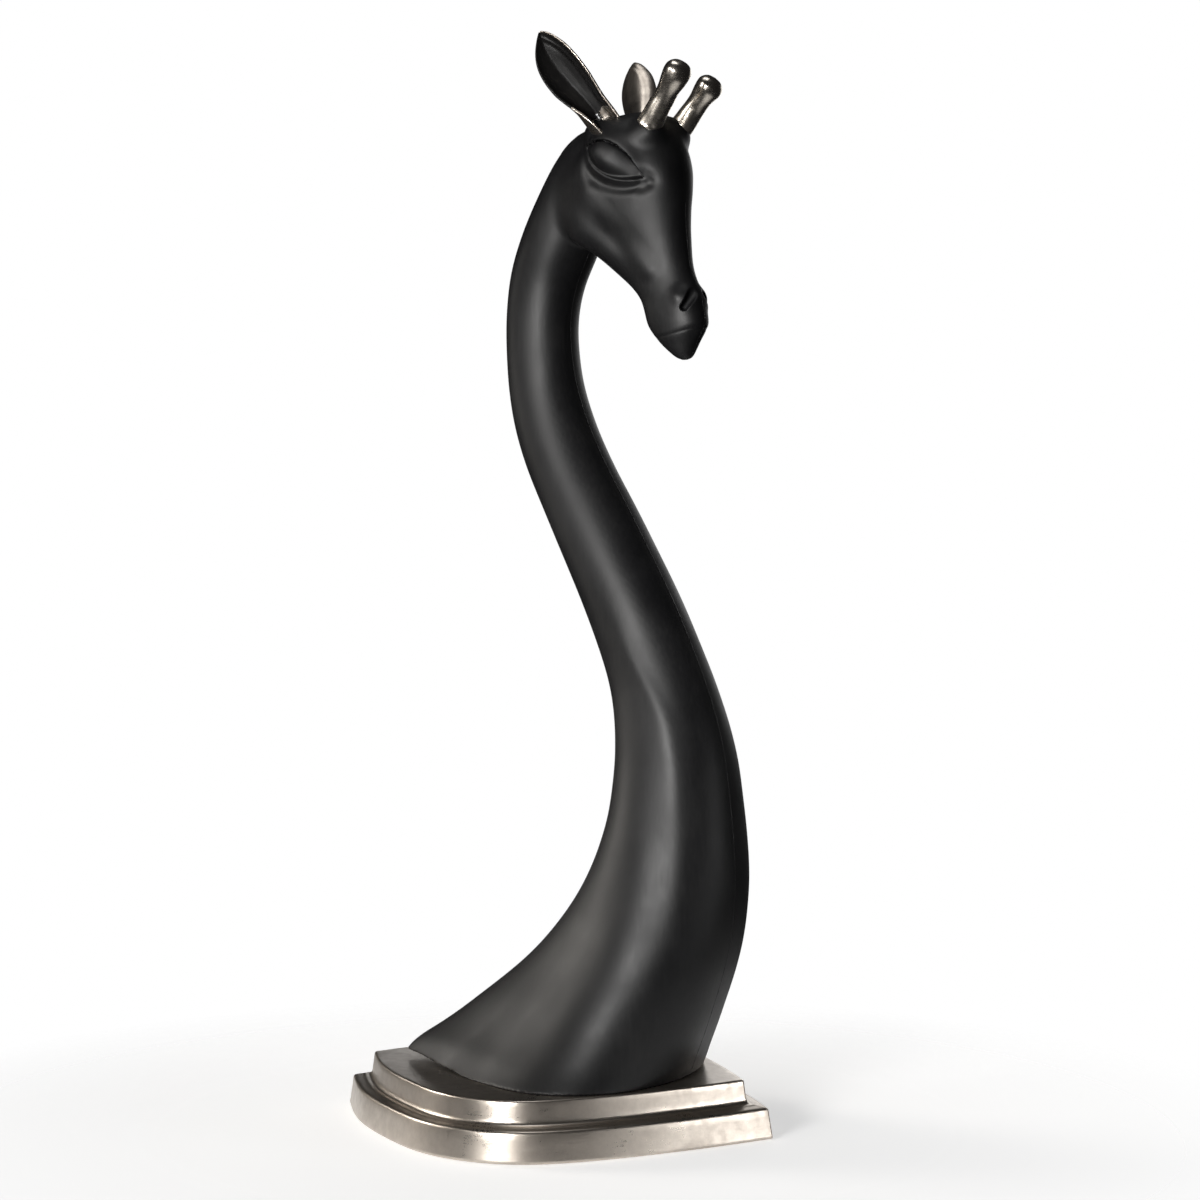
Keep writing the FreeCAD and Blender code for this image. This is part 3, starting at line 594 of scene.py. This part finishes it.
# ================================================================ ears
def ear(side):
    """thin cupped leaf: rolled over at the root on its lower side, flattening to the tip"""
    root = world(-65.6, side * 26.0, 875.8); tip = world(-100.0, side * 66.0, 944.0)
    u = tip - root; L = np.linalg.norm(u); u = u / L; L *= 1.045 if side < 0 else 0.89
    n = world(0.34 if side < 0 else -0.14, side * 0.94, 0.0) - world(0, 0, 0.0); n[2] = 0; n = n - u * (n @ u); n /= np.linalg.norm(n)
    v = np.cross(u, n)
    if v[2] > 0: v = -v                                       # v points to the lower, rear edge
    fr = np.array([-0.14, 0.0, 0.124, 0.229, 0.333, 0.429, 0.562, 0.667, 0.762, 0.857, 0.933, 0.975, 1.0])
    W  = np.array([12.4, 12.9, 12.8, 13.8, 15.7, 17.2, 17.6, 16.9, 15.1, 11.4, 6.9, 3.6, 0.8])      # half width
    AU = np.array([84, 82, 80, 76, 72, 69, 66, 63, 60, 56, 52, 49, 46.0])                        # upper side of the arc, degrees
    AL = np.array([158, 150, 132, 108, 90, 80, 72, 66, 61, 56, 52, 49, 46.0])                     # lower side rolls over at the root
    OF = np.array([0.0, 0.0, 0.0, 0.3, 1.0, 1.8, 2.4, 2.7, 2.5, 1.9, 0.7, 0.2, 0.0])
    K_ = 110
    f = np.linspace(fr[0], 1.0, K_)
    w = gsm(pchip_dense(fr, W, f), 1.5); w[-1] = 0.8; w[-2] = max(w[-2], 1.6)
    au, al = np.radians(gsm(pchip_dense(fr, AU, f), 3.0)), np.radians(gsm(pchip_dense(fr, AL, f), 3.0))
    of = gsm(pchip_dense(fr, OF, f), 2.0)
    th = np.interp(f, [-0.1, 0.1, 0.5, 0.9, 1.0], [3.0, 2.8, 2.4, 1.9, 1.3])
    M = 45
    rings = []; paint = []
    for i in range(K_):
        rr = w[i] / math.sin(min(0.5 * (au[i] + min(al[i], math.pi / 2)), math.pi / 2))
        s1 = math.sin(math.pi * min(max(f[i], 0), 1))
        c = root + u * (f[i] * L) + n * (1.5 * s1 - 3.5 * max(f[i] - 0.7, 0)**2 / 0.09) + v * of[i]
        cen = c + n * (rr * 0.62)
        ph = np.linspace(-au[i], al[i], M)
        # fold running parallel to the upper edge, about 9 mm in, dying out at the tip
        arc_in = (ph + au[i]) * rr
        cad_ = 1.0 if side < 0 else 0.55
        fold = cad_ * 0.9 * np.exp(-((arc_in - 8.5) / 1.6)**2) * min(1, w[i] / 12) - 0.5 * np.exp(-((arc_in - 12.0) / 2.2)**2) * min(1, w[i] / 12)
        mid = -0.8 * np.exp(-((ph - 0.25) / 0.16)**2) * min(1, w[i] / 12)
        t2 = th[i] / 2
        def pts(r_, ph_):
            return cen + (r_ * np.sin(ph_))[:, None] * v - (r_ * np.cos(ph_))[:, None] * n
        outer = pts(rr + t2 - 0.35 * fold - 0.7 * mid, ph); inner = pts(rr - t2 - fold - mid, ph)[::-1]
        def rim(phe, sgn, bead):
            m = cen + rr * (math.sin(phe) * v - math.cos(phe) * n)
            tang = sgn * (math.cos(phe) * v + math.sin(phe) * n); rad = math.sin(phe) * v - math.cos(phe) * n
            a = np.linspace(0, math.pi, 7)[1:-1]
            return m + t2 * bead * (np.outer(np.cos(a), rad) + np.outer(np.sin(a), tang))
        rings.append(np.vstack([outer, rim(al[i], 1, 1.0), inner, rim(-au[i], -1, 1.0)[::-1]]))
        # 1 where the black finish lies in the hollow, 0 on bare metal
        q = arc_in
        pin = np.clip((q - 0.9) / 0.9, 0, 1) * np.clip((f[i] - 0.02) / 0.05 + 0.6 * np.sin(3 * ph), 0, 1)
        lower = np.clip((f[i] - 0.2) / 0.08, 0, 1)
        paint.append(np.concatenate([np.zeros(M - 1), [lower], np.full(5, lower), pin[::-1], np.zeros(5)]))
    K = len(rings[0]); V = np.vstack(rings); F = []
    k = np.arange(K); k2 = (k + 1) % K
    for i in range(K_ - 1):
        F += np.stack([i*K + k, (i+1)*K + k, (i+1)*K + k2, i*K + k2], 1).tolist()
    def cap(base, flip):
        out = list(range(0, M)); inn = list(range(M + 5, 2*M + 5))[::-1]
        q = [[base+out[a], base+out[a+1], base+inn[a+1], base+inn[a]] for a in range(M - 1)]
        q += [[base + M - 1] + [base + M + j for j in range(5)] + [base + M + 5], [base + 2*M + 4] + [base + 2*M + 5 + j for j in range(5)] + [base]]
        return [x[::-1] for x in q] if flip else q
    F += cap(0, False) + cap((K_ - 1) * K, True)
    o = new_object("cast_ear_" + ("left" if side > 0 else "right"), V, F)
    bm = bmesh.new(); bm.from_mesh(o.data)
    bmesh.ops.recalc_face_normals(bm, faces=bm.faces); bm.to_mesh(o.data); bm.free()
    at = o.data.attributes.new("black_finish", "FLOAT", "POINT")
    at.data.foreach_set("value", np.concatenate(paint).astype(np.float32))
    log(o.name, "open edges", sum(1 for e in _edges(o) if e != 2))
    return o

def gsm(v, sig):
    r = int(4*sig); k = np.exp(-0.5*(np.arange(-r, r+1)/sig)**2); k /= k.sum()
    return np.convolve(np.r_[2*v[0] - v[r:0:-1], v, 2*v[-1] - v[-2:-r-2:-1]], k, 'valid')

# ================================================================ horns
def horn(side):
    p = world(HORN_P[0] + (1.5 if side < 0 else 0), side * HORN_P[1], HORN_P[2]); d = world(27.0 if side < 0 else 29.3, side * (3.5 if side < 0 else 1.9), 0) - world(0, 0, 0); d[2] = 32.6; d /= np.linalg.norm(d)
    a0 = np.cross(d, [0, 0, 1.0]); a0 /= np.linalg.norm(a0); b0 = np.cross(d, a0)
    hh = np.array([-1.0, 0, 5, 10, 16, 22, 28, 34, 40, 46, 51, 55, 58.5, 61.3, 62.9])
    rr = np.array([10.6, 11.1, 11.1, 10.8, 10.3, 9.9, 9.6, 9.7, 10.3, 11.4, 12.1, 11.9, 10.3, 7.2, 1.8])
    hh = hh * (1.0 if side < 0 else 0.90)
    N, M = 80, 72
    h = np.interp(np.linspace(0, 1, N), np.linspace(0, 1, len(hh)), hh)
    r = gsm(pchip_dense(hh, rr, h), 1.2)
    ph = np.linspace(0, 2*math.pi, M, endpoint=False)
    rng = np.random.RandomState(11 if side > 0 else 23)
    # soft hammered facets: a few dozen shallow dimples
    dim = [(rng.uniform(0, 60), rng.uniform(0, 2*math.pi), rng.uniform(3.5, 7.0), rng.uniform(0.15, 0.42)) for _ in range(44)]
    V = []
    for i in range(N):
        x = np.full(M, r[i])
        for (hc, pc, s, am) in dim:
            dp = (ph - pc + math.pi) % (2*math.pi) - math.pi
            x -= am * np.exp(-(((h[i] - hc)**2 + (dp * max(r[i], 3))**2) / s**2)) * (1 if h[i] > 2 else 0)
        x *= 1 + 0.02 * np.cos(2*ph + 0.7)
        V.append(p + d*h[i] + np.outer(x*np.cos(ph), a0) + np.outer(x*np.sin(ph), b0))
    V = np.vstack(V + [np.array([p + d*h[0], p + d*(hh[-1] + 0.4)])]); F = []
    k = np.arange(M); k2 = (k+1) % M
    for i in range(N - 1): F += np.stack([i*M + k, i*M + k2, (i+1)*M + k2, (i+1)*M + k], 1).tolist()
    F += [[N*M, int(j), int(i)] for i, j in zip(k, k2)] + [[N*M + 1, int((N-1)*M + i), int((N-1)*M + j)] for i, j in zip(k, k2)]
    o = new_object("cast_horn_" + ("left" if side > 0 else "right"), V, F)
    bm = bmesh.new(); bm.from_mesh(o.data)
    bmesh.ops.recalc_face_normals(bm, faces=bm.faces); bm.to_mesh(o.data); bm.free()
    mark_sharp(o, 60)
    return o

# ================================================================ materials
def mat(name):
    m = bpy.data.materials.new(name); m.use_nodes = True
    nt = m.node_tree; nt.nodes.clear()
    out = nt.nodes.new("ShaderNodeOutputMaterial"); b = nt.nodes.new("ShaderNodeBsdfPrincipled")
    nt.links.new(b.outputs[0], out.inputs[0])
    return m, nt, b

def N(nt, kind, **kw):
    n = nt.nodes.new(kind)
    for k, v in kw.items():
        if k in n.inputs: n.inputs[k].default_value = v
        else: setattr(n, k, v)
    return n

def noise(nt, vec, scale, detail=3.0, rough=0.5, dist=0.0):
    n = nt.nodes.new("ShaderNodeTexNoise")
    n.inputs["Scale"].default_value = scale; n.inputs["Detail"].default_value = detail
    n.inputs["Roughness"].default_value = rough; n.inputs["Distortion"].default_value = dist
    nt.links.new(vec, n.inputs["Vector"]); return n.outputs[0]

def ramp(nt, fac, stops):
    r = nt.nodes.new("ShaderNodeValToRGB"); e = r.color_ramp.elements
    while len(e) > 1: e.remove(e[-1])
    e[0].position, e[0].color = stops[0][0], (*stops[0][1], 1) if len(stops[0][1]) == 3 else stops[0][1]
    for p, c in stops[1:]:
        x = e.new(p); x.color = (*c, 1)
    nt.links.new(fac, r.inputs[0]); return r.outputs[0]

def remap(nt, v, a, b, c, d):
    n = nt.nodes.new("ShaderNodeMapRange"); n.clamp = True
    for i, x in enumerate((a, b, c, d)): n.inputs[i + 1].default_value = x
    nt.links.new(v, n.inputs[0]); return n.outputs[0]

def math_(nt, op, a, b=None):
    n = nt.nodes.new("ShaderNodeMath"); n.operation = op
    for i, x in enumerate((a, b)):
        if x is None: continue
        if isinstance(x, (int, float)): n.inputs[i].default_value = x
        else: nt.links.new(x, n.inputs[i])
    return n.outputs[0]

def coords(nt, scale=(1, 1, 1), rot=(0, 0, 0)):
    tc = nt.nodes.new("ShaderNodeTexCoord"); mp = nt.nodes.new("ShaderNodeMapping")
    mp.inputs["Scale"].default_value = scale; mp.inputs["Rotation"].default_value = rot
    nt.links.new(tc.outputs["Object"], mp.inputs["Vector"]); return mp.outputs[0]

def bump(nt, bsdf, height, dist, strength=1.0, prev=None):
    n = nt.nodes.new("ShaderNodeBump"); n.inputs["Strength"].default_value = strength; n.inputs["Distance"].default_value = dist
    nt.links.new(height, n.inputs["Height"])
    if prev is not None: nt.links.new(prev, n.inputs["Normal"])
    nt.links.new(n.outputs[0], bsdf.inputs["Normal"]); return n.outputs[0]

def black_wood():
    m, nt, b = mat("black_wood")
    v = coords(nt); vg = coords(nt, (1, 1, 0.09), (0, math.radians(8), 0))
    grain = noise(nt, vg, 420, 4, 0.6, 0.35)          # long close pores running up the neck
    fine = noise(nt, v, 1500, 2, 0.6)
    cloud = noise(nt, v, 16, 4, 0.55)
    hand = noise(nt, v, 55, 3, 0.55)
    mix = math_(nt, "ADD", math_(nt, "MULTIPLY", grain, 0.5), math_(nt, "MULTIPLY", cloud, 0.5))
    nt.links.new(ramp(nt, mix, [(0.30, (0.0022, 0.0022, 0.0026)), (0.52, (0.0040, 0.0040, 0.0045)), (0.72, (0.0080, 0.0078, 0.0080))]), b.inputs["Base Color"])
    ro = math_(nt, "ADD", remap(nt, cloud, 0.3, 0.7, 0.44, 0.54), math_(nt, "MULTIPLY", math_(nt, "SUBTRACT", grain, 0.5), 0.10))
    nt.links.new(ro, b.inputs["Roughness"])
    b.inputs["Specular IOR Level"].default_value = 0.34
    b.inputs["Sheen Weight"].default_value = 0.0
    n1 = bump(nt, b, hand, 0.0006, 0.25)
    n2 = bump(nt, b, grain, 0.00010, 0.55, n1)
    bump(nt, b, fine, 0.00003, 0.5, n2)
    return m

def nickel(name, base, dark, r0, r1, pit=0.35, painted=False):
    m, nt, b = mat(name)
    v = coords(nt); vb = coords(nt, (0.25, 0.25, 6.0))
    cloud = noise(nt, v, 20, 4, 0.6); fine = noise(nt, v, 900, 3, 0.6); mid = noise(nt, v, 120, 4, 0.62); brush = noise(nt, vb, 160, 3, 0.6)
    cmix = math_(nt, "ADD", math_(nt, "MULTIPLY", cloud, 0.6), math_(nt, "MULTIPLY", mid, 0.4))
    col = ramp(nt, cmix, [(0.36, dark), (0.60, base)])
    vo = nt.nodes.new("ShaderNodeTexVoronoi"); vo.inputs["Scale"].default_value = 950; nt.links.new(v, vo.inputs["Vector"])
    pits = remap(nt, vo.outputs["Distance"], 0.0, 0.25, 0.0, 1.0)
    ro = math_(nt, "ADD", remap(nt, cmix, 0.38, 0.62, r1, r0), math_(nt, "MULTIPLY", math_(nt, "SUBTRACT", fine, 0.5), 0.10))
    ro = math_(nt, "ADD", ro, math_(nt, "MULTIPLY", math_(nt, "SUBTRACT", brush, 0.5), 0.10))
    n1 = bump(nt, b, mid, 0.0002, 0.22 * pit / 0.35)
    n2 = bump(nt, b, pits, 0.00006, pit, n1)
    n3 = bump(nt, b, brush, 0.00006, 0.35 * pit / 0.35, n2)
    bump(nt, b, fine, 0.00003, 0.4, n3)
    if painted:
        b.inputs["Specular IOR Level"].default_value = 0.22
        at = nt.nodes.new("ShaderNodeAttribute"); at.attribute_type = "GEOMETRY"; at.attribute_name = "black_finish"
        worn = math_(nt, "ADD", at.outputs["Fac"], math_(nt, "MULTIPLY", math_(nt, "SUBTRACT", mid, 0.5), 0.7))
        k = remap(nt, worn, 0.42, 0.60, 0.0, 1.0)
        mx = nt.nodes.new("ShaderNodeMix"); mx.data_type = "RGBA"
        nt.links.new(k, mx.inputs[0]); nt.links.new(col, mx.inputs[6]); mx.inputs[7].default_value = (0.010, 0.0095, 0.0095, 1)
        nt.links.new(mx.outputs[2], b.inputs["Base Color"])
        nt.links.new(remap(nt, k, 0, 1, 1, 0), b.inputs["Metallic"])
        r2 = math_(nt, "ADD", math_(nt, "MULTIPLY", ro, remap(nt, k, 0, 1, 1, 0)), math_(nt, "MULTIPLY", k, 0.42))
        nt.links.new(r2, b.inputs["Roughness"])
    else:
        b.inputs["Metallic"].default_value = 1.0
        nt.links.new(col, b.inputs["Base Color"]); nt.links.new(ro, b.inputs["Roughness"])
    return m

def steel(name, col=(0.56, 0.57, 0.58), rough=0.32):
    m, nt, b = mat(name); v = coords(nt, (1, 1, 1)); vs = coords(nt, (1, 1, 12))
    n = noise(nt, vs, 500, 3, 0.6); c = noise(nt, v, 60, 3)
    b.inputs["Metallic"].default_value = 1.0
    nt.links.new(ramp(nt, c, [(0.35, tuple(x * 0.8 for x in col)), (0.65, col)]), b.inputs["Base Color"])
    nt.links.new(remap(nt, n, 0.3, 0.7, rough - 0.08, rough + 0.10), b.inputs["Roughness"])
    bump(nt, b, n, 0.00004, 0.5); return m

def felt():
    m, nt, b = mat("felt"); v = coords(nt)
    n = noise(nt, v, 1400, 5, 0.75); c = noise(nt, v, 180, 3)
    nt.links.new(ramp(nt, n, [(0.3, (0.012, 0.012, 0.014)), (0.7, (0.045, 0.045, 0.05))]), b.inputs["Base Color"])
    nt.links.new(remap(nt, c, 0.3, 0.7, 0.9, 1.0), b.inputs["Roughness"])
    b.inputs["Sheen Weight"].default_value = 0.4; b.inputs["Sheen Roughness"].default_value = 0.6
    bump(nt, b, n, 0.0004, 0.8); return m

def bare_wood():
    m, nt, b = mat("bare_wood"); vg = coords(nt, (14, 1, 14)); v = coords(nt)
    g = noise(nt, vg, 60, 5, 0.6, 0.6); f = noise(nt, v, 900, 2)
    nt.links.new(ramp(nt, g, [(0.3, (0.34, 0.20, 0.10)), (0.5, (0.50, 0.33, 0.18)), (0.7, (0.62, 0.44, 0.26))]), b.inputs["Base Color"])
    nt.links.new(remap(nt, g, 0.3, 0.7, 0.5, 0.7), b.inputs["Roughness"]); bump(nt, b, f, 0.0001, 0.4); return m

MATS = {"black_wood": black_wood(),
        "plated_casting": nickel("plated_casting", (0.60, 0.540, 0.475), (0.45, 0.40, 0.350), 0.28, 0.38, 0.34, True),
        "polished_nickel": nickel("polished_nickel", (0.80, 0.735, 0.65), (0.66, 0.60, 0.52), 0.24, 0.32, 0.20),
        "steel": steel("steel"), "brass": steel("brass", (0.72, 0.55, 0.26), 0.3), "felt": felt(), "bare_wood": bare_wood()}

def dress(o, slot, node):
    o.data.materials.clear(); o.data.materials.append(MATS[slot])
    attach(o, "root")
    if node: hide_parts(node)

# ================================================================ assemble
for o, node in zip(halves(carve()), ("body_right_half", "body_left_half")): dress(o, "black_wood", node)
log("halves done")
dress(plinth(), "plated_casting", "base_plinth")
for s, nm in ((-1, "right"), (1, "left")):
    dress(ear(s), "plated_casting", "ear_" + nm)
    dress(horn(s), "polished_nickel", "horn_" + nm)
for node, slot in (("seam_dowels", "bare_wood"), ("ear_studs", "steel"), ("horn_studs", "steel"), ("base_bolts", "steel"), ("base_washers", "steel"),
                   ("threaded_inserts", "brass"), ("locating_pins", "steel"), ("felt_pads", "felt")):
    o = frame["nodes"][node]
    o.data.materials.clear(); o.data.materials.append(MATS[slot])
log("pieces", len(bpy.data.objects))

# ================================================================ studio
def floor():
    n, rad = 96, 6.0
    rr = [0.0, 0.3, 0.6, 1.0, 1.6, 2.4, 3.5, 6.0]
    V = [(0, 0, 0)]; F = []
    for r in rr[1:]: V += [(r*math.cos(2*math.pi*i/n), r*math.sin(2*math.pi*i/n), 0) for i in range(n)]
    F += [(0, 1 + i, 1 + (i+1) % n) for i in range(n)]
    for k in range(len(rr) - 2):
        a, b = 1 + k*n, 1 + (k+1)*n
        F += [(a + i, b + i, b + (i+1) % n, a + (i+1) % n) for i in range(n)]
    me = bpy.data.meshes.new("floor"); me.from_pydata(V, [], F); me.update()
    o = bpy.data.objects.new("floor", me); bpy.context.scene.collection.objects.link(o)
    m = bpy.data.materials.new("floor"); m.use_nodes = True; nt = m.node_tree; nt.nodes.clear()
    out = nt.nodes.new("ShaderNodeOutputMaterial"); mix = nt.nodes.new("ShaderNodeMixShader"); tr = nt.nodes.new("ShaderNodeBsdfTransparent")
    df = nt.nodes.new("ShaderNodeBsdfDiffuse"); df.inputs[0].default_value = (0.90, 0.90, 0.90, 1)
    geo = nt.nodes.new("ShaderNodeNewGeometry"); ln = nt.nodes.new("ShaderNodeVectorMath"); ln.operation = "LENGTH"
    nt.links.new(geo.outputs["Position"], ln.inputs[0])
    fade = remap(nt, ln.outputs["Value"], 0.22, 0.66, 0.0, 1.0)
    em = nt.nodes.new("ShaderNodeEmission"); em.inputs[0].default_value = (1, 1, 1, 1); em.inputs[1].default_value = 0.50; ad = nt.nodes.new("ShaderNodeAddShader")
    nt.links.new(df.outputs[0], ad.inputs[0]); nt.links.new(em.outputs[0], ad.inputs[1])
    nt.links.new(fade, mix.inputs[0]); nt.links.new(ad.outputs[0], mix.inputs[1]); nt.links.new(tr.outputs[0], mix.inputs[2]); nt.links.new(mix.outputs[0], out.inputs[0])
    me.materials.append(m)
floor()

w = bpy.data.worlds.new("studio"); bpy.context.scene.world = w; w.use_nodes = True
nt = w.node_tree; nt.nodes.clear()
out = nt.nodes.new("ShaderNodeOutputWorld"); bg1 = nt.nodes.new("ShaderNodeBackground"); bg2 = nt.nodes.new("ShaderNodeBackground")
mix = nt.nodes.new("ShaderNodeMixShader"); lp = nt.nodes.new("ShaderNodeLightPath")
bg1.inputs[0].default_value = (0.010, 0.010, 0.0105, 1); bg1.inputs[1].default_value = 1.0
bg2.inputs[0].default_value = (1.0, 1.0, 1.0, 1); bg2.inputs[1].default_value = 1.0
nt.links.new(lp.outputs["Is Camera Ray"], mix.inputs[0]); nt.links.new(bg1.outputs[0], mix.inputs[1]); nt.links.new(bg2.outputs[0], mix.inputs[2]); nt.links.new(mix.outputs[0], out.inputs[0])

def area(name, az, el, dist, size, power, color=(1, 1, 1), target=(0.03, 0.0, 0.48), spread=180):
    """az: 0 is straight in front of the camera side (-Y), positive to +X"""
    L = bpy.data.lights.new(name, "AREA"); L.shape = "RECTANGLE"; L.size, L.size_y = size; L.energy = power; L.color = color; L.spread = math.radians(spread)
    o = bpy.data.objects.new(name, L); bpy.context.scene.collection.objects.link(o)
    a, e = math.radians(az), math.radians(el); t = Vector(target)
    o.location = t + Vector((math.sin(a) * math.cos(e), -math.cos(a) * math.cos(e), math.sin(e))) * dist
    o.rotation_euler = (t - o.location).to_track_quat("-Z", "Y").to_euler()
    return o
# a bright panel in front, a dimmer one over it, one far left aimed low; faint strips and panels round the foot
area("key", -6, 6, 2.3, (0.90, 0.42), 4.4, (1.0, 0.99, 0.975), (0.03, 0.0, 0.46), 34)
area("key_upper", -34, 14, 2.4, (1.3, 0.60), 1.6, (1.0, 0.98, 0.95), (0.06, 0.0, 0.90), 40)
area("left_panel", -88, 20, 2.1, (1.4, 0.5), 1.4, (1.0, 0.955, 0.89), (0.0, 0.0, 0.12), 34)
area("strip_front", 17, 6, 2.2, (0.22, 0.30), 0.05, (1.0, 0.94, 0.85), (0.0, 0.0, 0.0))
area("strip_left", -86, 5, 2.0, (0.42, 0.30), 0.70, (1.0, 0.92, 0.82), (0.0, 0.0, 0.03))
area("right_panel", 90, 7, 2.3, (1.6, 0.5), 0.45, (1, 1, 1), (0.0, 0.0, 0.08), 22)
area("rear_panel", 196, 7, 2.2, (1.5, 0.34), 1.8, (1, 1, 1), (0.0, 0.0, 0.06))
area("rear_right", 165, 14, 2.6, (1.0, 1.2), 5.0, (1, 1, 1), (0.03, 0.0, 0.45))
area("rear_left", -173, 14, 2.6, (0.9, 1.2), 5.0, (1, 1, 1), (0.03, 0.0, 0.45))
area("top", 0, 88, 2.6, (1.2, 1.0), 9)

# ================================================================ camera
cam_d = bpy.data.cameras.new("camera"); cam = bpy.data.objects.new("camera", cam_d); bpy.context.scene.collection.objects.link(cam)
AZ = math.radians(23.0)
C = Vector((2.300 * math.sin(AZ), -2.300 * math.cos(AZ), 0.492)); side_off = 0.0403
T = Vector((side_off * math.cos(AZ), side_off * math.sin(AZ), 0.458))
cam.location = C; cam.rotation_euler = (T - C).to_track_quat("-Z", "Y").to_euler()
cam_d.sensor_width = 36.0; cam_d.sensor_fit = "HORIZONTAL"; cam_d.lens = 78.81; cam_d.clip_end = 50
bpy.context.scene.camera = cam
bpy.context.scene.view_settings.view_transform = "Standard"
bpy.context.scene.view_settings.look = "None"

bpy.context.view_layer.update()
log("done")
